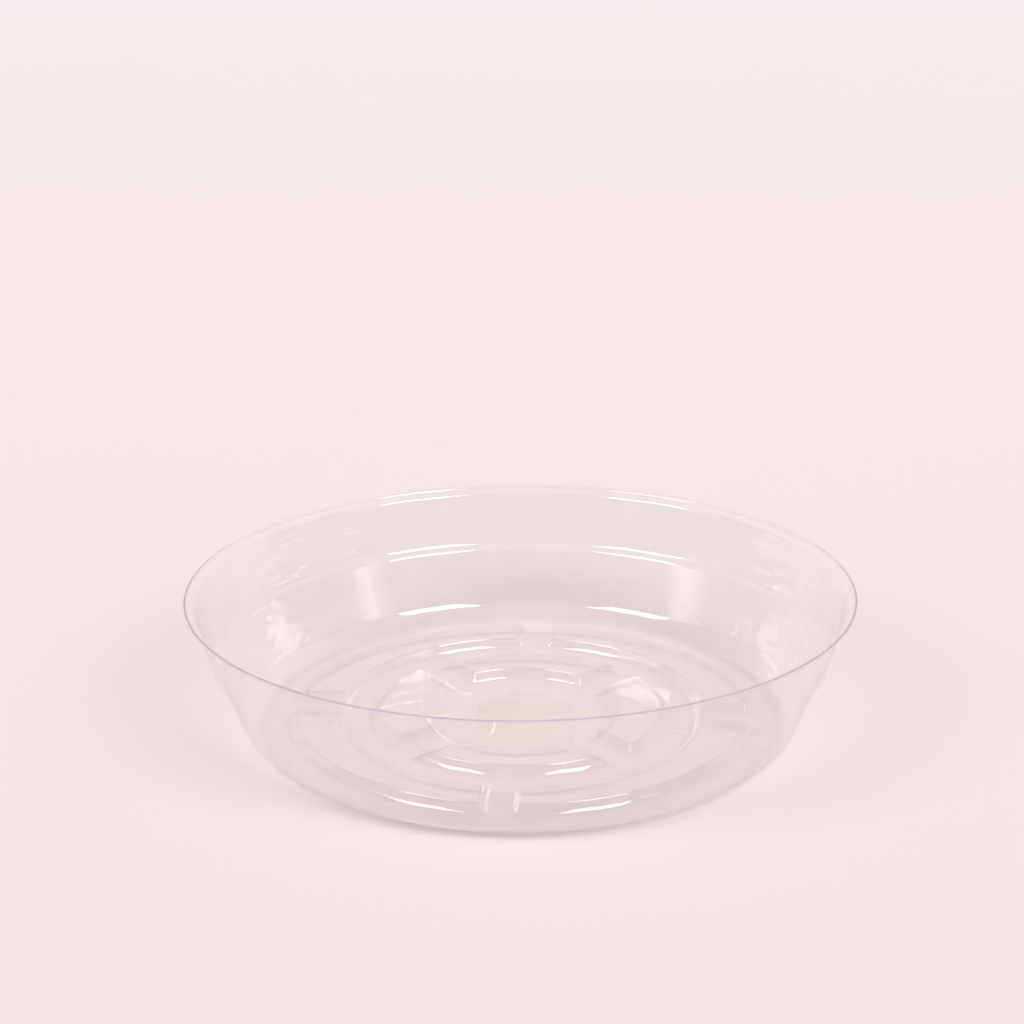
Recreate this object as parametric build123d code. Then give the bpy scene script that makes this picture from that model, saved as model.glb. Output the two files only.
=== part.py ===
from build123d import *
import math
import os

# Clear plant saucer: one thin formed sheet, with a blank label stuck under its floor.
# Millimetres. The origin is on the table at the saucer's centre, with +Z up.
# Radii and heights are those of the upper face of the sheet, from the centre out to the rim.

# Sheet
sheet = 0.45

# Floor: pot rests round the centre, a trough, the drain ridge and a moat along the wall
centre_radius = 22.7
rest_width = 10.0
trough_width = 9.7
ridge_width = 9.4
moat_width = 8.7
land_rise = 2.95
land_draft = 20.0
land_top_bend = 0.1
rest_inner_bend = 1.0
rest_outer_bend = 2.2
ridge_inner_bend = 1.9
ridge_outer_bend = 2.0
centre_rise = 0.25

# Channels cut through the ridge and between the pot rests
channel_count = 4
notch_width = 8.7
gap_width = 9.2
channel_draft = 28.0
channel_bend = 2.4
channel_sill = 0.4

# Wall: a sloping heel off the floor, the lower wall, a stepped shoulder and the upper wall
heel_width = 3.5
heel_rise = 3.8
foot_bend = 5.8
heel_bend = 3.6
lower_wall_height = 13.25
lower_wall_lean = 20.45
shoulder_width = 1.3
shoulder_rise = 1.3
shoulder_edge_bend = 1.05
shoulder_root_bend = 2.0
upper_wall_height = 12.5
upper_wall_lean = 15.45

# Rim: a ledge and a short upstand that ends at the trimmed edge
ledge_width = 2.05
ledge_rise = 0.9
ledge_bend = 0.5
upstand_height = 0.8

# Plain raised pad in the middle of the floor
pad_length = 25.0
pad_back_width = 8.0
pad_front_width = 13.0
pad_rise = 0.35
pad_bend = 1.2

# Label
label_width = 22.5
label_length = 24.0
label_film = 0.1
label_bend = 1.0
label_right = 1.0
label_forward = 2.4
label_turn = 5.0

# How far tools run past the material that they cut
overrun = 2.0

# The most of a straight side that one bend may use
bend_room_share = 0.49

# Places that follow from the sizes
floor = sheet
centre_floor = floor + centre_rise
land_top = floor + land_rise
land_run = land_rise * math.tan(math.radians(land_draft))
centre_run = (land_rise - centre_rise) * math.tan(math.radians(land_draft))
rest_outer = centre_radius + rest_width
ridge_inner = rest_outer + trough_width
ridge_outer = ridge_inner + ridge_width
foot_radius = ridge_outer + moat_width
heel_radius = foot_radius + heel_width
heel_height = floor + heel_rise
shoulder_radius = heel_radius + lower_wall_height * math.tan(math.radians(lower_wall_lean))
shoulder_height = heel_height + lower_wall_height
upper_wall_radius = shoulder_radius + shoulder_width
upper_wall_foot = shoulder_height + shoulder_rise
ledge_radius = upper_wall_radius + upper_wall_height * math.tan(math.radians(upper_wall_lean))
ledge_height = upper_wall_foot + upper_wall_height
upstand_radius = ledge_radius + ledge_width
upstand_foot = ledge_height + ledge_rise
height = upstand_foot + upstand_height
rim_diameter = 2 * (upstand_radius + sheet)


def right_normal(start, end):
    """Unit vector to the right of the way from start to end."""
    along = (end - start).normalized()
    return Vector(along.Y, -along.X)


def moved_outline(corners, depth):
    """Corners of an open outline after each of its sides has moved to its right by depth."""
    normals = [right_normal(start, end) for start, end in zip(corners, corners[1:])]
    sides = zip(corners, [normals[0], *normals], [*normals, normals[-1]])
    return [corner + (n + m) * (depth / (1 + n.dot(m))) for corner, n, m in sides]


def moved_bends(corners, bends, depth):
    """Bend radii after the same move. A named bend is the tight side's, and the other side adds the sheet."""
    radii = []
    for start, corner, end, bend in zip(corners, corners[1:], corners[2:], bends):
        before = corner - start
        after = end - corner
        turns_left = before.cross(after).Z > 0
        half_turn = math.radians(before.get_angle(after)) / 2
        room = bend_room_share * min(before.length, after.length) / math.tan(half_turn)
        upper = min(bend if turns_left else bend + sheet, room)
        radii.append(upper + depth if turns_left else max(upper - depth, 0))
    return radii


def floor_and_wall():
    """Upper face of the sheet as corners (radius, height) and their bends, from the axis to the rim."""
    rests = [
        (centre_radius - centre_run, centre_floor, rest_inner_bend),
        (centre_radius, land_top, land_top_bend),
        (rest_outer, land_top, land_top_bend),
        (rest_outer + land_run, floor, rest_outer_bend),
    ]
    ridge = [
        (ridge_inner - land_run, floor, ridge_inner_bend),
        (ridge_inner, land_top, land_top_bend),
        (ridge_outer, land_top, land_top_bend),
        (ridge_outer + land_run, floor, ridge_outer_bend),
    ]
    wall = [
        (foot_radius, floor, foot_bend),
        (heel_radius, heel_height, heel_bend),
        (shoulder_radius, shoulder_height, shoulder_edge_bend),
        (upper_wall_radius, upper_wall_foot, shoulder_root_bend),
        (ledge_radius, ledge_height, ledge_bend),
        (upstand_radius, upstand_foot, ledge_bend),
    ]
    bent = rests + ridge + wall
    places = [(0, centre_floor), *[(r, z) for r, z, bend in bent], (upstand_radius, height)]
    return [Vector(r, z) for r, z in places], [bend for r, z, bend in bent]


def bowl(depth):
    """Solid of what lies above the face at depth in the sheet, with the ridge and rests unbroken."""
    corners, bends = floor_and_wall()
    outline = moved_outline(corners, depth)
    top = height if depth else height + overrun
    closing = [Vector(outline[-1].X, top)] if top > height else []
    closing.append(Vector(0, top))
    points = [*outline, *closing]
    radii = [0, *moved_bends(corners, bends, depth), *[0 for corner in (outline[-1], *closing)]]
    with BuildSketch(Plane.XZ) as half_section:
        with BuildLine():
            FilletPolyline(*points, radius=radii, close=True)
        make_face()
    return revolve(half_section.sketch, axis=Axis.Z)


def channel(width, start, end, depth):
    """Solid of one radial channel along +X, of that width at the lands' top, for the face at depth."""
    slope = math.tan(math.radians(channel_draft))
    base = floor + channel_sill
    top = land_top + overrun
    half_top = width / 2 + overrun * slope
    half_base = width / 2 - (land_top - base) * slope
    corners = [
        Vector(-half_top, top),
        Vector(-half_base, base),
        Vector(half_base, base),
        Vector(half_top, top),
    ]
    outline = moved_outline(corners, depth)
    radii = [0, *moved_bends(corners, [channel_bend, channel_bend], depth), 0]
    across = Plane(origin=(start, 0, 0), x_dir=(0, 1, 0), z_dir=(1, 0, 0))
    with BuildSketch(across) as section:
        with BuildLine():
            FilletPolyline(*outline, radius=radii, close=True)
        make_face()
    return extrude(section.sketch, amount=end - start)


def channels(depth):
    """Solids of all the channels: notches on the axes, and gaps between the rests halfway between them."""
    step = 360 / channel_count
    notch = channel(notch_width, rest_outer + trough_width / 2, ridge_outer + moat_width / 2, depth)
    gap = channel(gap_width, centre_radius - rest_width / 2, rest_outer + trough_width / 2, depth)
    turns = range(channel_count)
    return [Rot(0, 0, turn * step) * notch for turn in turns] + [
        Rot(0, 0, (turn + 1 / 2) * step) * gap for turn in turns
    ]


def pad(depth):
    """Solid under the face at depth in the plain raised pad, reaching down through the floor."""
    side_angle = math.degrees(math.atan2(pad_length, (pad_front_width - pad_back_width) / 2))
    outline = Trapezoid(pad_front_width, pad_length, side_angle)
    outline = fillet(outline.vertices(), radius=pad_bend + sheet)
    if depth:
        outline = offset(outline, amount=-depth)
    return extrude(Pos(0, 0, -overrun) * outline, amount=overrun + centre_floor + pad_rise - depth)


def saucer_shell():
    """The sheet: what lies above its lower face, less what lies above its upper face."""
    lower, upper = [bowl(depth) + channels(depth) - pad(depth) for depth in (sheet, 0)]
    return lower - upper


def blank_label():
    """Clear film stuck face to face under the middle of the floor, a little above the table."""
    outline = RectangleRounded(label_width, label_length, label_bend)
    film = extrude(outline, amount=label_film)
    return Rot(0, 0, label_turn) * Pos(label_right, -label_forward, centre_rise - label_film) * film


os.makedirs("parts", exist_ok=True)
export_step(saucer_shell(), "parts/saucer_shell.step")
export_step(blank_label(), "parts/blank_label.step")
print(f"rim diameter {rim_diameter:.2f}, height {height:.2f}, foot radius {foot_radius:.2f}")
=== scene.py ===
"""Clear plant saucer: one thin formed sheet of vinyl, with a blank label stuck under its floor."""

import math

import bpy
import numpy as np
from bpy.props import FloatProperty, FloatVectorProperty, IntProperty, PointerProperty
from mathutils import Matrix, Vector


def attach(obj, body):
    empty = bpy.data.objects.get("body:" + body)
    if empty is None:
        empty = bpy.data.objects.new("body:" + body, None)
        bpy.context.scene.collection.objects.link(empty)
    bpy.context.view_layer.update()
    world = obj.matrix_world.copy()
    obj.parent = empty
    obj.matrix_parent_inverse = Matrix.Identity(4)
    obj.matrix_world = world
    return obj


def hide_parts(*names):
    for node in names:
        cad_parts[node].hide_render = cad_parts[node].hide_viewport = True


bl_info = {
    "name": "Clear Plant Saucer",
    "version": (1, 0, 0),
    "blender": (4, 5, 0),
    "location": "View3D > Sidebar > Plant Saucer",
    "description": "Builds a clear formed plant saucer with its label, on a plain stage",
    "category": "Object",
}

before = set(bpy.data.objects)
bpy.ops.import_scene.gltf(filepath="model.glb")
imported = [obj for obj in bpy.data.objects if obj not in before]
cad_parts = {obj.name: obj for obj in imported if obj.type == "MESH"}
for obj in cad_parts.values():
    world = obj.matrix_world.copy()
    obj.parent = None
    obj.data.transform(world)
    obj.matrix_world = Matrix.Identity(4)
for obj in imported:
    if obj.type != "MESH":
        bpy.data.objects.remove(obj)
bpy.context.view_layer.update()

# Longest steps along the sheet's outline, in metres, and how much longer they are on the lower face
MIDDLE_STEP = 0.0007
STEEP_STEP = 0.0004
LONG_STEP = 0.009
LOWER_FACE_STEPS = 2.0
ROUNDING_SLACK = 1e-6

# Columns of the sheet's grid beside a channel, by their distance from the edge of its top
FOOT_REACH = 0.0027
BRINK_REACH = 0.0004
SIDE_COLUMNS = 8
OUTER_COLUMNS = (0.0007, 0.0013, 0.0026)
SHARED_COLUMNS = 4
LEAST_RADIUS = 0.02

# Radius of the pad's corners, in widths of its slope
PAD_CORNER = 1.5

# Spans of bend, as the turn for each metre, over which the sheet changes its looks
# The first span is where the sheet takes a painted shade, a darker violet, at its creases.
CREASE_SHADE_BEND = (1400.0, 3500.0)
SOFT_BEND = (80.0, 260.0)

# Spans of place, in metres, over which a piece changes its looks
# Over this span a face takes a darker tint low down towards the floor.
LOW_TINT_UP = (0.002, 0.016)
SHADED_WALL_UP = (0.014, 0.024)
SHADED_WALL_BACK = (-0.03, 0.0)
SHADED_WALL_ASIDE = (0.01, 0.05)
SHADED_HEEL_OUT = (0.056, 0.058)
SHADED_HEEL_BACK = (-0.05, -0.02)
RIPPLED_SIDE_ASIDE = (0.042, 0.062)
# Over this span the trimmed edge turns lighter towards the back, as painted light.
PAINTED_LIGHT_EDGE_BACK = (0.01, 0.06)
LABEL_ACROSS = (-0.008, 0.01)
# Over these the floor takes its painted shading, darker in front and lighter far behind.
FLOOR_SHADING_BACK = (-0.2, 1.8)
FLOOR_STOPS = (0.04, 0.215, 0.95)

# Spans of a unit direction over which gloss shows another part of the room
ROOM_UP = (0.3, 0.37)
CEILING_UP = (0.4, 0.6)
BACKDROP_BACK = (0.2, 0.6)

# Noises as scale and detail, and the span of a noise that counts
TINT_NOISE = (160.0, 3.0)
GLOSS_NOISE = (900.0, 2.0)
SIDE_NOISE = (70.0, 1.5)
EDGE_NOISE = (600.0, 2.0)
CUT_NOISE = (2500.0, 2.0)
GLUE_NOISE = (260.0, 4.0)
FILM_NOISE = (700.0, 2.0)
FILM_RIPPLE_NOISE = (400.0, 2.0)
FLOOR_NOISE = (8.0, 2.0)
NOISE_SPAN = (0.3, 0.7)

# Finishes
WHITE = (1.0, 1.0, 1.0)
FLOOR_DIP = (0.995, 0.995, 0.995)
SHEET_ROUGHNESS = (0.015, 0.05)
EDGE_ROUGHNESS = (0.25, 0.45)
FILM_ROUGHNESS = (0.25, 0.5)
FLOOR_ROUGHNESS = 0.9
FLOOR_SPECULAR = 0.1
VINYL_IOR = 1.53
FILM_IOR = 1.48
FILM_RIPPLE = 0.00004
SIDE_FLATTEN = 3.5
EDGE_DEPTH = 0.9
EDGE_ON_POWER = 8.0
MIRROR_POWER = 4.0

# Width of the camera's frame in millimetres
FRAME_WIDTH = 36.0


def length(name, description, default):
    """A length in metres that the sidebar shows in the scene's units."""
    return FloatProperty(
        name=name, description=description, default=default, min=0.0, precision=5, unit="LENGTH"
    )


def place(name, description, default):
    """A place along an axis in metres, which may lie below zero."""
    return FloatProperty(
        name=name, description=description, default=default, precision=5, unit="LENGTH"
    )


def angle(name, description, degrees):
    """An angle that is given in degrees and kept in radians."""
    return FloatProperty(
        name=name, description=description, default=math.radians(degrees), precision=3, subtype="ANGLE"
    )


def number(name, description, default):
    """A plain number from zero up."""
    return FloatProperty(name=name, description=description, default=default, min=0.0, precision=3)


def count(name, description, default):
    """A whole number from two up."""
    return IntProperty(name=name, description=description, default=default, min=2)


def colour(name, description, default):
    """A linear colour."""
    return FloatVectorProperty(
        name=name, description=description, default=default, size=3, min=0.0, max=1.0, subtype="COLOR"
    )


class SaucerSheetSettings(bpy.types.PropertyGroup):
    """Sizes of the formed sheet. Radii and heights are those of its upper face."""

    sheet: length("Sheet", "Thickness of the sheet", 0.00045)
    centre_radius: length("Centre radius", "Inner edge of the pot rests' tops", 0.0227)
    rest_width: length("Rest width", "Width of the pot rests' tops", 0.01)
    trough_width: length("Trough width", "Between the tops of the rests and the ridge", 0.0097)
    ridge_width: length("Ridge width", "Width of the drain ridge's top", 0.0094)
    moat_width: length("Moat width", "From the ridge's top to the wall's heel", 0.0087)
    land_rise: length("Land rise", "Height of the rests and the ridge", 0.00295)
    land_draft: angle("Land draft", "Lean of the lands' sides from upright", 20.0)
    land_top_bend: length("Land top bend", "Bend along the lands' tops", 0.0001)
    rest_inner_bend: length("Rest inner bend", "Bend along the inner foot of the rests", 0.001)
    rest_outer_bend: length("Rest outer bend", "Bend along the outer foot of the rests", 0.0022)
    ridge_inner_bend: length("Ridge inner bend", "Bend along the inner foot of the ridge", 0.0019)
    ridge_outer_bend: length("Ridge outer bend", "Bend along the outer foot of the ridge", 0.002)
    centre_rise: length("Centre rise", "Height of the middle of the floor", 0.00025)
    channel_count: count("Channels", "Notches, and gaps between rests", 4)
    notch_width: length("Notch width", "Width of a notch at the ridge's top", 0.0087)
    gap_width: length("Gap width", "Width of a gap at the rests' top", 0.0092)
    channel_draft: angle("Channel draft", "Lean of the channels' sides from upright", 28.0)
    channel_bend: length("Channel bend", "Bend along the foot of a channel's side", 0.0024)
    channel_sill: length("Channel sill", "Height of a channel's floor", 0.0004)
    heel_width: length("Heel width", "How far the heel slopes out between floor and wall", 0.0035)
    heel_rise: length("Heel rise", "How far the heel slopes up", 0.0038)
    foot_bend: length("Foot bend", "Bend between the floor and the heel", 0.0058)
    heel_bend: length("Heel bend", "Bend between the heel and the wall", 0.0036)
    lower_wall_height: length("Lower wall height", "From the heel to the shoulder", 0.01325)
    lower_wall_lean: angle("Lower wall lean", "Lean of the lower wall from upright", 20.45)
    shoulder_width: length("Shoulder width", "How far the shoulder steps out", 0.0013)
    shoulder_rise: length("Shoulder rise", "How far the shoulder steps up", 0.0013)
    shoulder_edge_bend: length("Shoulder edge bend", "Bend from the lower wall to the shoulder", 0.00105)
    shoulder_root_bend: length("Shoulder root bend", "Bend from the shoulder to the upper wall", 0.002)
    upper_wall_height: length("Upper wall height", "From the shoulder to the rim's ledge", 0.0125)
    upper_wall_lean: angle("Upper wall lean", "Lean of the upper wall from upright", 15.45)
    ledge_width: length("Ledge width", "Width of the rim's ledge", 0.00205)
    ledge_rise: length("Ledge rise", "Rise of the ledge across its width", 0.0009)
    ledge_bend: length("Ledge bend", "Bends of the ledge", 0.0005)
    upstand_height: length("Upstand height", "From the ledge to the trimmed edge", 0.0008)
    edge_break: length("Edge break", "Rounding of the trimmed edge's corners", 0.00005)
    edge_slope: angle("Edge slope", "Fall of the trimmed edge towards the outside", 25.0)
    pad_length: length("Pad length", "Length of the plain raised pad in the middle", 0.025)
    pad_back_width: length("Pad back width", "Width of the pad at its back", 0.008)
    pad_front_width: length("Pad front width", "Width of the pad at its front", 0.013)
    pad_rise: length("Pad rise", "Height of the pad", 0.00035)
    pad_slope: length("Pad slope", "Width of the slope round the pad", 0.0009)
    channel_ease: length("Channel ease", "How far down the edges of the channels are rounded off", 0.0004)
    bend_steps: count("Bend steps", "Points along each bend of the upper face", 8)
    under_steps: count("Under steps", "Points along each bend of the lower face", 5)
    tint_pale: colour("Pale tint", "What a face lets through where it is clearest", (1.0, 0.998, 1.0))
    tint_deep: colour("Deep tint", "What a face lets through where it is cloudy", (0.99, 0.984, 0.986))
    # Painted shade: a darker violet where the sheet bends sharply.
    crease_painted_shade: colour("Bend tint", "What a face lets through at a sharp bend", (0.925, 0.905, 0.93))
    # A darker tint low down towards the floor; the sheet is no thicker there.
    low_tint: colour("Floor tint", "What the thicker floor lets through of that", (0.992, 0.991, 0.991))
    grazing_tint: colour("Grazing tint", "What a face lets through of that, seen edge on", (0.92, 0.9, 0.92))
    wall_shade: colour("Wall shade", "What the back wall lets through to the table", (0.955, 0.95, 0.951))
    heel_shade: colour("Heel shade", "What the front heel lets through to the table", (0.97, 0.964, 0.966))
    edge_tint: colour("Edge tint", "Colour of the trimmed edge at the front", (0.56, 0.455, 0.53))
    # Painted light: the edge turns lighter at the back, for the highlight beside it.
    far_edge_painted_light: colour("Far edge tint", "Colour of the trimmed edge at the back", (0.78, 0.7, 0.75))
    mirror: number("Mirror", "Share of light that the sheet mirrors head on", 0.084)
    grazing: number("Grazing", "Share of light that the sheet mirrors at a grazing angle", 0.85)
    ripple: length("Ripple", "Height of the faint ripples in the sheet", 0.00001)
    side_ripple: length("Side ripple", "Height of the ripples in the side walls", 0.0002)


class SaucerLabelSettings(bpy.types.PropertyGroup):
    """Finish of the blank label under the floor."""

    film: colour("Film", "Colour of the clear film and its glue", (0.95, 0.88, 0.74))
    glue: colour("Glue", "Colour where the glue lies thicker", (0.92, 0.84, 0.66))
    cover: number("Cover", "How much the film hides at its left end", 0.07)
    thin_cover: number("Thin cover", "How much it hides at its right end, where the glue is thin", 0.02)


class SaucerStageSettings(bpy.types.PropertyGroup):
    """Floor, light and camera."""

    # Painted shading of the floor: darker in front, lighter far behind.
    shaded_floor_near: colour("Near floor", "Colour of the floor in front of the saucer", (0.897, 0.774, 0.764))
    floor_colour: colour("Floor", "Colour of the floor behind the saucer", (0.915, 0.81, 0.795))
    lit_floor_far: colour("Far floor", "Colour of the floor far behind the saucer", (0.95, 0.846, 0.864))
    floor_reach: length("Floor reach", "Half the floor's side", 12.0)
    floor_gap: length("Floor gap", "Air under the foot, which keeps the faces apart", 0.00004)
    dome: number("Dome", "Strength of the even light from all sides", 0.3)
    backdrop: colour("Backdrop", "What is seen beyond the floor", (0.915, 0.81, 0.795))
    room: colour("Room", "What gloss shows of the room behind the camera", (0.02, 0.02, 0.02))
    room_low: colour("Low room", "What gloss shows of that room low down", (0.3, 0.28, 0.28))
    ceiling: colour("Ceiling", "What gloss shows of the ceiling", (0.5, 0.47, 0.47))
    left_glow: number("Left glow", "Brightness of the left softbox beside white paper", 6.75)
    right_glow: number("Right glow", "Brightness of the right softbox beside white paper", 10.0)
    softbox_away: length("Softbox distance", "Far enough to light the floor evenly", 200.0)
    softbox_left: angle("Left softbox", "Turn of the left softbox away from the camera", 55.0)
    softbox_right: angle("Right softbox", "Turn of the right softbox away from the camera", 41.0)
    softbox_up: angle("Softbox height", "Height of each softbox above the floor", 38.3)
    softbox_wide: angle("Softbox width", "Width of a softbox as the saucer sees it", 27.0)
    softbox_tall: angle("Softbox tallness", "Height of a softbox as the saucer sees it", 27.0)
    strip_glow: number("Strip glow", "How bright the soft strips at the sides are that gloss shows", 1.5)
    strip_left: angle("Left strip", "Turn of the left strip away from the camera", 71.8)
    strip_right: angle("Right strip", "Turn of the right strip away from the camera", 64.6)
    strip_up: angle("Strip height", "Height of each strip above the floor", 20.0)
    strip_wide: angle("Strip width", "Width of a strip to where it fades out", 22.0)
    strip_tall: angle("Strip tallness", "Height of a strip to where it fades out", 22.0)
    lens: number("Lens", "Focal length in millimetres for a 36 mm frame", 77.34)
    camera_turn: angle("Camera turn", "Turn of the camera about the saucer", 5.27)
    camera_pitch: angle("Camera pitch", "How far the camera looks down", 18.47)
    camera_roll: angle("Camera roll", "Turn of the picture in its own plane", -0.37)
    camera_away: length("Camera distance", "From the camera to the point in the middle of its view", 0.4966)
    aim_right: place("Aim right", "Middle of the view, to the right", -0.00175)
    aim_up: place("Aim up", "Middle of the view, above the floor", 0.05066)


def bent_outline(corners, radii, steps):
    """Open outline with an arc in place of each inner corner.

    An arc touches both of its sides at its radius times the tangent of half the turn away from the corner.
    Its points are the first touching point, turned about the arc's centre by equal shares of the turn.
    """
    before = corners[1:-1] - corners[:-2]
    before = before / np.linalg.norm(before, axis=1, keepdims=True)
    after = corners[2:] - corners[1:-1]
    after = after / np.linalg.norm(after, axis=1, keepdims=True)
    turn = np.arctan2(before[:, 0] * after[:, 1] - before[:, 1] * after[:, 0], (before * after).sum(axis=1))
    touch = corners[1:-1] - before * (radii * np.tan(np.abs(turn) / 2))[:, None]
    left = np.stack([-before[:, 1], before[:, 0]], axis=1)
    centre = touch + left * (radii * np.sign(turn))[:, None]
    arm = touch - centre
    swing = turn[:, None] * np.linspace(0.0, 1.0, steps)
    arcs = np.stack(
        [
            centre[:, :1] + np.cos(swing) * arm[:, :1] - np.sin(swing) * arm[:, 1:],
            centre[:, 1:] + np.sin(swing) * arm[:, :1] + np.cos(swing) * arm[:, 1:],
        ],
        axis=2,
    )
    return np.vstack([corners[:1], arcs.reshape(-1, 2), corners[-1:]])


def moved_corners(corners, depth):
    """Corners of an open outline after each of its sides has moved to its right by depth."""
    along = np.diff(corners, axis=0)
    along = along / np.linalg.norm(along, axis=1, keepdims=True)
    right = np.stack([along[:, 1], -along[:, 0]], axis=1)
    first = np.vstack([right[:1], right])
    second = np.vstack([right, right[-1:]])
    return corners + (first + second) * (depth / (1 + (first * second).sum(axis=1)))[:, None]


def split_long_runs(points, longest):
    """Outline with each run cut into as few equal steps as keep every step within that run's longest."""
    runs = np.diff(points, axis=0)
    steps = np.linalg.norm(runs, axis=1) / longest - ROUNDING_SLACK
    counts = np.maximum(np.ceil(steps).astype(int), 1)
    run = np.repeat(np.arange(len(runs)), counts)
    place = np.arange(counts.sum()) - np.repeat(np.cumsum(counts) - counts, counts)
    return np.vstack([points[run] + runs[run] * (place / counts[run])[:, None], points[-1:]])


def sheet_corners(s):
    """Corners (radius, height) of the sheet's upper face and their bends, from the axis to the rim.

    A side that leans goes out by its height times the tangent of its lean.
    """
    floor = s.sheet
    top = floor + s.land_rise
    run = s.land_rise * math.tan(s.land_draft)
    centre_run = (s.land_rise - s.centre_rise) * math.tan(s.land_draft)
    rest_outer = s.centre_radius + s.rest_width
    ridge_inner = rest_outer + s.trough_width
    ridge_outer = ridge_inner + s.ridge_width
    foot = ridge_outer + s.moat_width
    heel = (foot + s.heel_width, floor + s.heel_rise)
    shoulder = (heel[0] + s.lower_wall_height * math.tan(s.lower_wall_lean), heel[1] + s.lower_wall_height)
    upper = (shoulder[0] + s.shoulder_width, shoulder[1] + s.shoulder_rise)
    ledge = (upper[0] + s.upper_wall_height * math.tan(s.upper_wall_lean), upper[1] + s.upper_wall_height)
    upstand = (ledge[0] + s.ledge_width, ledge[1] + s.ledge_rise)
    bent = [
        (s.centre_radius - centre_run, floor + s.centre_rise, s.rest_inner_bend),
        (s.centre_radius, top, s.land_top_bend),
        (rest_outer, top, s.land_top_bend),
        (rest_outer + run, floor, s.rest_outer_bend),
        (ridge_inner - run, floor, s.ridge_inner_bend),
        (ridge_inner, top, s.land_top_bend),
        (ridge_outer, top, s.land_top_bend),
        (ridge_outer + run, floor, s.ridge_outer_bend),
        (foot, floor, s.foot_bend),
        (*heel, s.heel_bend),
        (*shoulder, s.shoulder_edge_bend),
        (*upper, s.shoulder_root_bend),
        (*ledge, s.ledge_bend),
        (*upstand, s.ledge_bend),
    ]
    middle = (0.0, floor + s.centre_rise)
    trimmed = (upstand[0], upstand[1] + s.upstand_height)
    places = [middle, *[(r, z) for r, z, bend in bent], trimmed]
    return np.array(places), np.array([bend for r, z, bend in bent])


def face_outline(s, depth):
    """Outline of the face at depth in the sheet, before its channels and its pad.

    A named bend is the radius on its tight side, and the sheet's other side adds the thickness.
    """
    corners, bends = sheet_corners(s)
    before = np.diff(corners, axis=0)[:-1]
    after = np.diff(corners, axis=0)[1:]
    turns_left = before[:, 0] * after[:, 1] - before[:, 1] * after[:, 0] > 0
    radii = np.where(turns_left, bends + depth, bends + s.sheet - depth)
    moved = moved_corners(corners, depth)
    moved[0, 0] = 0.0
    moved[-1, 1] = corners[-1, 1]
    outline = bent_outline(moved, radii, s.under_steps if depth else s.bend_steps)
    runs = np.abs(np.diff(outline, axis=0))
    steep = (runs[:, 1] > runs[:, 0]) & (outline[1:, 1] < 2 * s.land_rise)
    middle = outline[:-1, 0] < s.centre_radius - s.rest_width / 2
    longer = LOWER_FACE_STEPS if depth else 1.0
    longest = np.where(steep, STEEP_STEP * longer, LONG_STEP)
    return split_long_runs(outline, np.where(middle, MIDDLE_STEP * longer, longest))


def channel_height(across, width, depth, s):
    """Height of a channel's face at depth in the sheet, at a distance across from the channel's middle.

    The floor is level, a circular bend leaves it, and from the bend's end the side rises on a straight slope.
    """
    lean = math.tan(s.channel_draft)
    base = s.sheet + s.channel_sill - depth
    top = s.sheet + s.land_rise
    corner = width / 2 + (base - top) * lean + depth / math.cos(s.channel_draft)
    bend = s.channel_bend + depth
    reach = bend * math.tan(math.pi / 4 - s.channel_draft / 2)
    first = corner - reach
    last = corner + reach * math.sin(s.channel_draft)
    away = np.abs(across)
    along = np.clip(away - first, 0.0, last - first)
    return base + bend - np.sqrt(bend**2 - along**2) + np.maximum(away - last, 0.0) / lean


def rounded_lower(one, other, ease):
    """The lower of two heights, rounded off where they cross.

    Where they differ by less than ease, the square of what is left of it is taken off over four times ease.
    """
    left = np.maximum(ease - np.abs(one - other), 0.0)
    return np.minimum(one, other) - left**2 / (4 * ease)


def pad_height(x, y, s):
    """Height of the plain pad over the floor: a smooth step of the distance inside its four sides."""
    half_length = s.pad_length / 2
    taper = (s.pad_front_width - s.pad_back_width) / 2 / s.pad_length
    half_width = (s.pad_front_width + s.pad_back_width) / 4 - taper * y
    inside_side = (half_width - np.abs(x)) / math.hypot(1.0, taper)
    inside_end = half_length - np.abs(y)
    corner = s.pad_slope * PAD_CORNER
    inside = corner - np.hypot(np.maximum(corner - inside_side, 0.0), np.maximum(corner - inside_end, 0.0))
    share = np.clip(inside / s.pad_slope, 0.0, 1.0)
    return s.pad_rise * share**2 * (3 - 2 * share)


def column_offsets(radii, s):
    """Angles of one sector's columns from its middle, for each radius.

    Near the middle, columns keep a distance across the channel, so they run along its straight sides. Beyond
    them the rest of the sector is shared evenly in angle.
    """
    edge = (s.notch_width + s.gap_width) / 4
    foot = np.linspace(edge - FOOT_REACH, edge - BRINK_REACH, SIDE_COLUMNS)
    brink = np.linspace(edge - BRINK_REACH, edge + BRINK_REACH, SIDE_COLUMNS)[1:]
    side = np.concatenate([foot, brink, edge + np.array(OUTER_COLUMNS)])
    across = np.concatenate([-side[::-1], [0.0], side])
    near = np.arcsin(across / np.maximum(radii, LEAST_RADIUS)[:, None])
    half = math.pi / (2 * s.channel_count)
    share = np.linspace(0.0, 1.0, SHARED_COLUMNS + 1)[1:]
    beyond = near[:, -1:] + (half - near[:, -1:]) * share
    return np.hstack([-beyond[:, -2::-1], near, beyond])


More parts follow.
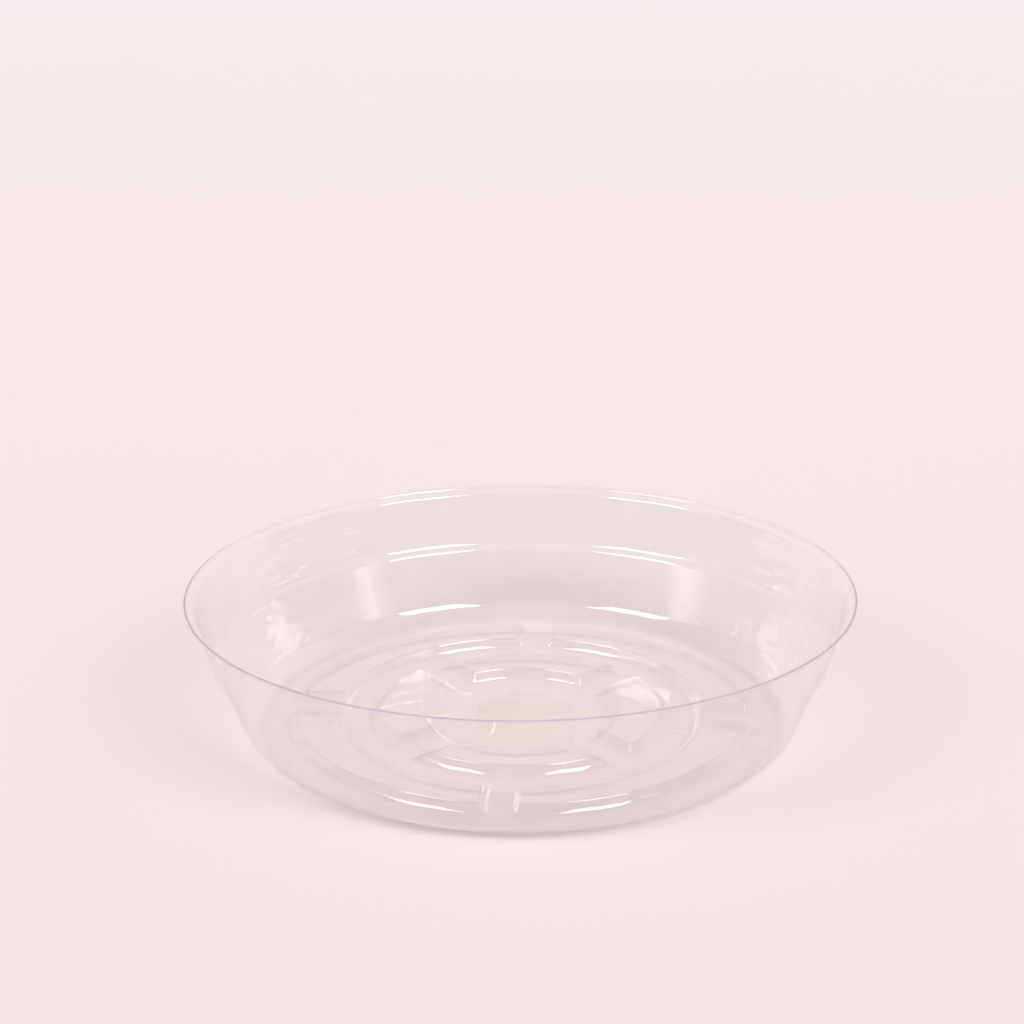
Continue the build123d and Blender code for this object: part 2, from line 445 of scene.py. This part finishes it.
def face_points(s, depth):
    """Grid of points on the face at depth in the sheet, a row for each outline point and columns all round.

    The height is that of the outline. In a channel it is the rounded lower of that and the channel's, and the
    pad is added in the middle.
    """
    radius, height = face_outline(s, depth).T
    offsets = column_offsets(radius, s)
    sectors = 2 * s.channel_count
    middles = np.arange(sectors) * (2 * math.pi / sectors)
    turn = (middles[:, None] + offsets[:, None, :]).reshape(len(radius), -1)
    x = radius[:, None] * np.cos(turn)
    y = radius[:, None] * np.sin(turn)
    across = radius[:, None, None] * np.sin(offsets[:, None, :])
    across = np.broadcast_to(across, (len(radius), sectors, offsets.shape[1]))
    trough = s.centre_radius + s.rest_width + s.trough_width / 2
    moat = trough + s.trough_width / 2 + s.ridge_width + s.moat_width / 2
    notched = ((radius > trough) & (radius < moat))[:, None, None] & (np.arange(sectors) % 2 == 0)[:, None]
    gapped = ((radius > s.centre_radius - s.rest_width / 2) & (radius < trough))[:, None, None]
    gapped = gapped & (np.arange(sectors) % 2 == 1)[:, None]
    land = np.broadcast_to(height[:, None, None], across.shape)
    notch = channel_height(across, s.notch_width, depth, s)
    land = np.where(notched, rounded_lower(land, notch, s.channel_ease), land)
    gap = channel_height(across, s.gap_width, depth, s)
    land = np.where(gapped, rounded_lower(land, gap, s.channel_ease), land)
    z = land.reshape(turn.shape) + pad_height(x, y, s)
    return np.stack([x, y, z], axis=2)


def sharpness(points, normals):
    """How sharply each face of a closed grid bends, for each metre: the turn of the normal over the distance.

    It is the greater of the mean along the face's two sides and the mean along its two ends.
    """
    across = np.linalg.norm(np.roll(normals, -1, axis=1) - normals, axis=2)
    across /= np.linalg.norm(np.roll(points, -1, axis=1) - points, axis=2)
    along = np.linalg.norm(np.diff(normals, axis=0), axis=2) / np.linalg.norm(np.diff(points, axis=0), axis=2)
    return np.maximum((across[:-1] + across[1:]) / 2, (along + np.roll(along, -1, axis=1)) / 2)


def grid_mesh(name, points, edge_rows):
    """Mesh of a grid of rows that close on themselves, whose first and last rows are poles.

    Each normal is the mean of its faces' normals by area, so broad flat faces stay flat beside narrow bends.
    The rows from edge_rows[0] to edge_rows[1] take the second material. The attribute bend is the sharpness.
    """
    rows, columns = points.shape[:2]
    inner = points[1:-1].reshape(-1, 3)
    vertices = np.vstack([points[:1, 0], inner, points[-1:, 0]])
    index = 1 + np.arange((rows - 2) * columns).reshape(rows - 2, columns)
    after = np.roll(index, -1, axis=1)
    quads = np.stack([index[:-1], index[1:], after[1:], after[:-1]], axis=2).reshape(-1, 4)
    last = len(vertices) - 1
    first_fan = np.stack([np.zeros(columns, int), index[0], after[0]], axis=1)
    last_fan = np.stack([np.full(columns, last), after[-1], index[-1]], axis=1)
    mesh = bpy.data.meshes.new(name)
    mesh.from_pydata(vertices.tolist(), [], [*first_fan.tolist(), *quads.tolist(), *last_fan.tolist()])
    row = np.repeat(np.arange(rows - 1), columns)
    trimmed = (row >= edge_rows[0]) & (row < edge_rows[1])
    mesh.polygons.foreach_set("material_index", trimmed.astype(np.int32))
    mesh.polygons.foreach_set("use_smooth", np.ones(len(row), bool))
    triangles = np.vstack([first_fan, quads[:, :3], quads[:, [0, 2, 3]], last_fan])
    a, b, c = (vertices[triangles[:, k]] for k in range(3))
    doubled = np.cross(b - a, c - a)
    normals = np.zeros_like(vertices)
    np.add.at(normals, triangles.ravel(), np.repeat(doubled, 3, axis=0))
    normals /= np.linalg.norm(normals, axis=1, keepdims=True)
    bend = sharpness(points[1:-1], normals[1:-1].reshape(rows - 2, columns, 3))
    bend = np.pad(bend.ravel(), columns).astype(np.float32)
    mesh.attributes.new("bend", "FLOAT", "FACE").data.foreach_set("value", bend)
    mesh.normals_split_custom_set_from_vertices(normals)
    mesh.update()
    return mesh


def feed(tree, socket, value):
    """Link an input to another node's output, or set it to a number, a vector or a colour."""
    if isinstance(value, bpy.types.NodeSocket):
        tree.links.new(value, socket)
    elif socket.type == "RGBA":
        socket.default_value = (*value, 1.0)
    else:
        socket.default_value = value


def add_node(tree, kind, **values):
    """New shader node with its inputs fed, by name with _ for a space."""
    node = tree.nodes.new(kind)
    for name, value in values.items():
        feed(tree, node.inputs[name.replace("_", " ")], value)
    return node


def compute(tree, operation, *values):
    """Result of one operation on numbers, each of them given or another node's output."""
    node = tree.nodes.new("ShaderNodeMath")
    node.operation = operation
    for socket, value in zip(node.inputs, values):
        feed(tree, socket, value)
    return node.outputs["Value"]


def product(tree, first, *others):
    """All of those numbers multiplied."""
    for other in others:
        first = compute(tree, "MULTIPLY", first, other)
    return first


def ramp(tree, value, span, low=0.0, high=1.0, shape="LINEAR"):
    """Number that goes from low to high as value goes through a span."""
    node = add_node(
        tree,
        "ShaderNodeMapRange",
        Value=value,
        From_Min=span[0],
        From_Max=span[1],
        To_Min=low,
        To_Max=high,
    )
    node.interpolation_type = shape
    return node.outputs["Result"]


def mixed(tree, share, one, other, blend="MIX"):
    """Colour that goes by a share from one to the other, or to their blend."""
    node = add_node(tree, "ShaderNodeMixRGB", Fac=share, Color1=one, Color2=other)
    node.blend_type = blend
    return node.outputs["Color"]


def mixed_shaders(tree, share, one, other):
    """Shader that goes by a share from one to the other."""
    node = add_node(tree, "ShaderNodeMixShader", Fac=share)
    feed(tree, node.inputs[1], one)
    feed(tree, node.inputs[2], other)
    return node.outputs["Shader"]


def own_place(tree):
    """Place on a piece in its own coordinates."""
    return add_node(tree, "ShaderNodeTexCoord").outputs["Object"]


def noise_between(tree, noise, low, high, flatten=1.0):
    """Colour or number that wanders between low and high with a noise, flattened in height."""
    flat = add_node(tree, "ShaderNodeMapping", Vector=own_place(tree), Scale=(1.0, 1.0, flatten))
    scale, detail = noise
    wave = add_node(
        tree, "ShaderNodeTexNoise", Vector=flat.outputs["Vector"], Scale=scale, Detail=detail
    ).outputs["Fac"]
    if isinstance(low, float):
        return ramp(tree, wave, NOISE_SPAN, low, high)
    return mixed(tree, ramp(tree, wave, NOISE_SPAN), low, high)


def ripple(tree, noise, distance, strength=1.0, flatten=1.0):
    """Normal of a surface that rises and falls by distance, times strength, with a noise."""
    height = noise_between(tree, noise, 0.0, 1.0, flatten)
    bump = add_node(tree, "ShaderNodeBump", Strength=strength, Distance=distance, Height=height)
    return bump.outputs["Normal"]


def along_axis(tree, axis, span, low=0.0, high=1.0, both_ways=False):
    """Number that goes from low to high as a piece's own coordinate goes through a span.

    Both ways, the coordinate counts without its sign.
    """
    value = add_node(tree, "ShaderNodeSeparateXYZ", Vector=own_place(tree)).outputs[axis]
    if both_ways:
        value = compute(tree, "ABSOLUTE", value)
    return ramp(tree, value, span, low, high)


def from_middle(tree, span):
    """Number that goes from 0 to 1 as the distance from a piece's own origin goes through a span."""
    away = tree.nodes.new("ShaderNodeVectorMath")
    away.operation = "LENGTH"
    feed(tree, away.inputs[0], own_place(tree))
    return ramp(tree, away.outputs["Value"], span)


def new_material(name):
    """Material with only its output node."""
    material = bpy.data.materials.new(name)
    material.use_nodes = True
    material.node_tree.nodes.clear()
    output = material.node_tree.nodes.new("ShaderNodeOutputMaterial")
    return material, material.node_tree, output.inputs["Surface"]


def let_through(tree, bend, turned, s):
    """Colour that a face of the sheet lets through.

    It wanders between the deep and the pale tint and goes to a darker violet where the sheet bends sharply, a
    painted shade at its creases.
    It is multiplied by a darker tint low down towards the floor, and by the grazing tint where the face is
    seen edge on.
    """
    tint = noise_between(tree, TINT_NOISE, s.tint_deep, s.tint_pale)
    # Painted shade: a darker violet at sharp bends.
    tint = mixed(tree, ramp(tree, bend, CREASE_SHADE_BEND), tint, s.crease_painted_shade)
    # Darker tint low down towards the floor.
    low = along_axis(tree, "Z", LOW_TINT_UP, 1.0, 0.0)
    tint = mixed(tree, low, tint, s.low_tint, "MULTIPLY")
    edge_on = compute(tree, "POWER", turned, EDGE_ON_POWER)
    return mixed(tree, edge_on, tint, s.grazing_tint, "MULTIPLY")


def shade_cast(tree, bend, s):
    """Colour that dims what a face lets through to light the table.

    It goes from white to the wall's shade high up at the back on both sides, and to the heel's shade along
    the bend at the foot's front. Each share is the product of the spans that it depends on.
    """
    wall = product(
        tree,
        along_axis(tree, "Z", SHADED_WALL_UP),
        along_axis(tree, "Y", SHADED_WALL_BACK),
        along_axis(tree, "X", SHADED_WALL_ASIDE, both_ways=True),
    )
    heel = product(
        tree,
        ramp(tree, bend, SOFT_BEND),
        from_middle(tree, SHADED_HEEL_OUT),
        along_axis(tree, "Y", SHADED_HEEL_BACK, 1.0, 0.0),
    )
    return mixed(tree, heel, mixed(tree, wall, WHITE, s.wall_shade), s.heel_shade)


def mirror_share(tree, turned, s):
    """Share of light that a face of the sheet mirrors.

    It rises from the head-on share to the grazing one with the fourth power of how far the face turns away,
    near Schlick's rule for two faces. All of it is where light comes in, and none where it leaves.
    """
    rising = compute(tree, "POWER", turned, MIRROR_POWER)
    share = compute(tree, "MULTIPLY_ADD", rising, s.grazing - s.mirror, s.mirror)
    leaving = add_node(tree, "ShaderNodeNewGeometry").outputs["Backfacing"]
    return product(tree, share, compute(tree, "SUBTRACT", 1.0, leaving))


def clear_vinyl(s):
    """Clear glossy sheet, too thin to bend what is seen through it, with a faint violet painted shade at
    sharp bends.

    The cast shade counts only for rays that carry light to the table. The ripples grow towards the sides.
    """
    material, tree, surface = new_material("clear_vinyl")
    attribute = add_node(tree, "ShaderNodeAttribute")
    attribute.attribute_name = "bend"
    bend = attribute.outputs["Fac"]
    turned = add_node(tree, "ShaderNodeLayerWeight", Blend=0.5).outputs["Facing"]
    rays = add_node(tree, "ShaderNodeLightPath").outputs
    lighting = compute(tree, "MAXIMUM", rays["Is Shadow Ray"], rays["Is Diffuse Ray"])
    seen = let_through(tree, bend, turned, s)
    tint = mixed(tree, lighting, seen, shade_cast(tree, bend, s), "MULTIPLY")
    through = add_node(tree, "ShaderNodeBsdfTransparent", Color=tint)
    calm = s.ripple / s.side_ripple
    strength = along_axis(tree, "X", RIPPLED_SIDE_ASIDE, calm, both_ways=True)
    gloss = add_node(
        tree,
        "ShaderNodeBsdfGlossy",
        Color=WHITE,
        Roughness=noise_between(tree, GLOSS_NOISE, *SHEET_ROUGHNESS),
        Normal=ripple(tree, SIDE_NOISE, s.side_ripple, strength, SIDE_FLATTEN),
    )
    share = mirror_share(tree, turned, s)
    feed(tree, surface, mixed_shaders(tree, share, through.outputs["BSDF"], gloss.outputs["BSDF"]))
    return material


def trimmed_edge(s):
    """Cut edge of the sheet, which shows the violet that light picks up along the sheet.

    Its colour wanders up to the edge's tint, and towards the back it goes to a lighter colour, painted light
    for the highlight that lies beside the edge there.
    """
    material, tree, surface = new_material("trimmed_edge")
    deep = tuple(EDGE_DEPTH * part for part in s.edge_tint)
    near = noise_between(tree, EDGE_NOISE, deep, s.edge_tint)
    body = add_node(
        tree,
        "ShaderNodeBsdfPrincipled",
        # Painted light: the edge turns lighter towards the back.
        Base_Color=mixed(tree, along_axis(tree, "Y", PAINTED_LIGHT_EDGE_BACK), near, s.far_edge_painted_light),
        Roughness=noise_between(tree, CUT_NOISE, *EDGE_ROUGHNESS),
        IOR=VINYL_IOR,
    )
    feed(tree, surface, body.outputs["BSDF"])
    return material


def label_film(s):
    """Clear film whose straw-coloured glue lies a little unevenly and thins out towards the right."""
    material, tree, surface = new_material("label_film")
    body = add_node(
        tree,
        "ShaderNodeBsdfPrincipled",
        Base_Color=noise_between(tree, GLUE_NOISE, s.glue, s.film),
        Roughness=noise_between(tree, FILM_NOISE, *FILM_ROUGHNESS),
        IOR=FILM_IOR,
        Alpha=along_axis(tree, "X", LABEL_ACROSS, s.cover, s.thin_cover),
        Normal=ripple(tree, FILM_RIPPLE_NOISE, FILM_RIPPLE),
    )
    feed(tree, surface, body.outputs["BSDF"])
    return material


def pale_floor(s):
    """Plain pale floor with a faint unevenness, and painted shading: darker in front of the saucer and
    lighter far behind it.
    """
    material, tree, surface = new_material("pale_floor")
    # Painted shading: darker in front, lighter far behind.
    back = add_node(tree, "ShaderNodeValToRGB", Fac=along_axis(tree, "Y", FLOOR_SHADING_BACK))
    stops = back.color_ramp.elements
    stops.new(FLOOR_STOPS[1])
    for stop, place, shown in zip(stops, FLOOR_STOPS, (s.shaded_floor_near, s.floor_colour, s.lit_floor_far)):
        stop.position = place
        stop.color = (*shown, 1.0)
    uneven = noise_between(tree, FLOOR_NOISE, FLOOR_DIP, WHITE)
    body = add_node(
        tree,
        "ShaderNodeBsdfPrincipled",
        Base_Color=mixed(tree, 1.0, back.outputs["Color"], uneven, "MULTIPLY"),
        Roughness=FLOOR_ROUGHNESS,
        Specular_IOR_Level=FLOOR_SPECULAR,
    )
    feed(tree, surface, body.outputs["BSDF"])
    return material


def place_object(name, data):
    """New object in the scene's own collection."""
    piece = bpy.data.objects.new(name, data)
    bpy.context.scene.collection.objects.link(piece)
    return piece


def direction(aside, up):
    """Unit vector from the saucer towards a place at that turn from its front and that height."""
    return Vector((math.sin(aside) * math.cos(up), -math.cos(aside) * math.cos(up), math.sin(up)))


class SAUCER_OT_sheet(bpy.types.Operator):
    """Build the formed sheet in place of its CAD node"""

    bl_idname = "saucer.sheet"
    bl_label = "Formed Sheet"

    def execute(self, context):
        s = context.scene.saucer_sheet
        upper = face_points(s, 0.0)
        lower = face_points(s, s.sheet)[::-1]
        outward = upper[-1] * [1.0, 1.0, 0.0]
        outward /= np.linalg.norm(outward, axis=1, keepdims=True)
        fall = np.array([0.0, 0.0, math.tan(s.edge_slope)])
        edge = np.stack([upper[-1] + s.edge_break * outward, lower[0] - s.edge_break * outward])
        edge[1] -= (s.sheet - 2 * s.edge_break) * fall
        upper[-1, :, 2] -= s.edge_break
        lower[0, :, 2] = edge[1, :, 2] - s.edge_break
        points = np.vstack([upper, edge, lower])
        mesh = grid_mesh("saucer_sheet", points, (len(upper) - 1, len(upper) + 2))
        mesh.materials.append(clear_vinyl(s))
        mesh.materials.append(trimmed_edge(s))
        piece = place_object("saucer_sheet", mesh)
        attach(piece, "root")
        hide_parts("saucer_shell")
        return {"FINISHED"}


class SAUCER_OT_label(bpy.types.Operator):
    """Give the blank label under the floor its film"""

    bl_idname = "saucer.label"
    bl_label = "Blank Label"

    def execute(self, context):
        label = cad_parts["blank_label"]
        label.data.materials.clear()
        label.data.materials.append(label_film(context.scene.saucer_label))
        return {"FINISHED"}


class SAUCER_OT_stage(bpy.types.Operator):
    """Set the floor, the light and the camera"""

    bl_idname = "saucer.stage"
    bl_label = "Stage"

    def execute(self, context):
        s = context.scene.saucer_stage
        reach = s.floor_reach
        mesh = bpy.data.meshes.new("floor")
        signs = ((-1, -1), (1, -1), (1, 1), (-1, 1))
        mesh.from_pydata([(x * reach, y * reach, -s.floor_gap) for x, y in signs], [], [(0, 1, 2, 3)])
        mesh.materials.append(pale_floor(s))
        place_object("floor", mesh)
        self.set_light(context.scene, s)
        self.set_camera(context.scene, s)
        context.scene.view_settings.view_transform = "Standard"
        context.scene.cycles.transparent_max_bounces = 32
        context.scene.cycles.glossy_bounces = 8
        return {"FINISHED"}

    def set_light(self, scene, s):
        """An even dome, a far softbox on each side of the camera, and what gloss shows of the room."""
        world = bpy.data.worlds.new("dome")
        world.use_nodes = True
        tree = world.node_tree
        tree.nodes.clear()
        rays = add_node(tree, "ShaderNodeLightPath").outputs
        sight = compute(tree, "MAXIMUM", rays["Is Camera Ray"], rays["Is Transmission Ray"])
        straight = compute(tree, "LESS_THAN", rays["Diffuse Depth"], 0.5)
        gloss = product(tree, rays["Is Glossy Ray"], straight)
        dome = add_node(tree, "ShaderNodeBackground", Color=WHITE, Strength=s.dome)
        light = dome.outputs["Background"]
        for share, shown in ((sight, s.backdrop), (gloss, self.room_shown(tree, s))):
            view = add_node(tree, "ShaderNodeBackground", Color=shown, Strength=1.0)
            light = mixed_shaders(tree, share, light, view.outputs["Background"])
        output = add_node(tree, "ShaderNodeOutputWorld")
        feed(tree, output.inputs["Surface"], light)
        scene.world = world
        self.add_softbox("softbox_left", s.camera_turn - s.softbox_left, s.left_glow, s)
        self.add_softbox("softbox_right", s.camera_turn + s.softbox_right, s.right_glow, s)

    def room_shown(self, tree, s):
        """Colour of the room in each direction, as gloss shows it.

        With height it goes from the low room to the room and then to the ceiling, and towards the back it
        goes to the backdrop. The soft strips at the sides are added.
        """
        place = add_node(tree, "ShaderNodeTexCoord").outputs["Generated"]
        towards = add_node(tree, "ShaderNodeSeparateXYZ", Vector=place).outputs
        higher = ramp(tree, towards["Z"], ROOM_UP, shape="SMOOTHSTEP")
        overhead = ramp(tree, towards["Z"], CEILING_UP, shape="SMOOTHSTEP")
        behind = ramp(tree, towards["Y"], BACKDROP_BACK, shape="SMOOTHSTEP")
        shown = mixed(tree, higher, s.room_low, s.room)
        shown = mixed(tree, overhead, shown, s.ceiling)
        shown = mixed(tree, behind, shown, s.backdrop)
        glow = (s.strip_glow, s.strip_glow, s.strip_glow)
        for aside in (s.camera_turn - s.strip_left, s.camera_turn + s.strip_right):
            shown = mixed(tree, self.soft_strip(tree, towards, aside, s), shown, glow, "ADD")
        return shown

    def soft_strip(self, tree, towards, aside, s):
        """Share of a soft strip in each direction: full on its middle line and none beyond its border.

        Across, it is a smooth step of the difference in turn. Up and down, it is one of the difference in
        height, and stays full for half of the way.
        """
        turn = compute(tree, "ARCTAN2", towards["X"], product(tree, towards["Y"], -1.0))
        height = compute(tree, "ARCSINE", towards["Z"])
        from_line = compute(tree, "ABSOLUTE", compute(tree, "SUBTRACT", turn, aside))
        from_height = compute(tree, "ABSOLUTE", compute(tree, "SUBTRACT", height, s.strip_up))
        tall = (s.strip_tall / 4, s.strip_tall / 2)
        return product(
            tree,
            ramp(tree, from_line, (0.0, s.strip_wide / 2), 1.0, 0.0, "SMOOTHSTEP"),
            ramp(tree, from_height, tall, 1.0, 0.0, "SMOOTHSTEP"),
        )

    def add_softbox(self, name, turn, glow, s):
        """A far rectangular lamp that faces the saucer, and is as bright as white paper times its glow."""
        lamp = bpy.data.lights.new(name, "AREA")
        lamp.shape = "RECTANGLE"
        lamp.size = 2 * s.softbox_away * math.tan(s.softbox_wide / 2)
        lamp.size_y = 2 * s.softbox_away * math.tan(s.softbox_tall / 2)
        lamp.energy = glow * math.pi * lamp.size * lamp.size_y
        towards = direction(turn, s.softbox_up)
        softbox = place_object(name, lamp)
        softbox.location = towards * s.softbox_away
        softbox.rotation_euler = towards.to_track_quat("Z", "Y").to_euler()

    def set_camera(self, scene, s):
        """A camera that looks down at the saucer from in front."""
        camera = bpy.data.cameras.new("camera")
        camera.sensor_width = FRAME_WIDTH
        camera.lens = s.lens
        turn = Matrix.Rotation(s.camera_turn, 4, "Z")
        aim = turn @ Vector((s.aim_right, 0.0, s.aim_up))
        back = direction(s.camera_turn, s.camera_pitch)
        tilt = Matrix.Rotation(math.pi / 2 - s.camera_pitch, 4, "X")
        roll = Matrix.Rotation(s.camera_roll, 4, "Z")
        holder = place_object("camera", camera)
        holder.matrix_world = Matrix.Translation(aim + back * s.camera_away) @ turn @ tilt @ roll
        scene.camera = holder


class SAUCER_PT_panel(bpy.types.Panel):
    """Lists the saucer's pieces and settings"""

    bl_idname = "SAUCER_PT_panel"
    bl_label = "Clear Plant Saucer"
    bl_space_type = "VIEW_3D"
    bl_region_type = "UI"
    bl_category = "Plant Saucer"

    def draw(self, context):
        for operator in (SAUCER_OT_sheet, SAUCER_OT_label, SAUCER_OT_stage):
            self.layout.operator(operator.bl_idname)
        for name in SETTINGS:
            box = self.layout.box()
            settings = getattr(context.scene, name)
            for setting in settings.bl_rna.properties:
                if setting.identifier not in ("rna_type", "name"):
                    box.prop(settings, setting.identifier)


SETTINGS = {
    "saucer_sheet": SaucerSheetSettings,
    "saucer_label": SaucerLabelSettings,
    "saucer_stage": SaucerStageSettings,
}
CLASSES = (*SETTINGS.values(), SAUCER_OT_sheet, SAUCER_OT_label, SAUCER_OT_stage, SAUCER_PT_panel)


def register():
    for each in CLASSES:
        bpy.utils.register_class(each)
    for name, settings in SETTINGS.items():
        setattr(bpy.types.Scene, name, PointerProperty(type=settings))


def unregister():
    for name in SETTINGS:
        delattr(bpy.types.Scene, name)
    for each in reversed(CLASSES):
        bpy.utils.unregister_class(each)


def main():
    register()
    bpy.ops.saucer.sheet()
    bpy.ops.saucer.label()
    bpy.ops.saucer.stage()


if __name__ == "__main__":
    main()
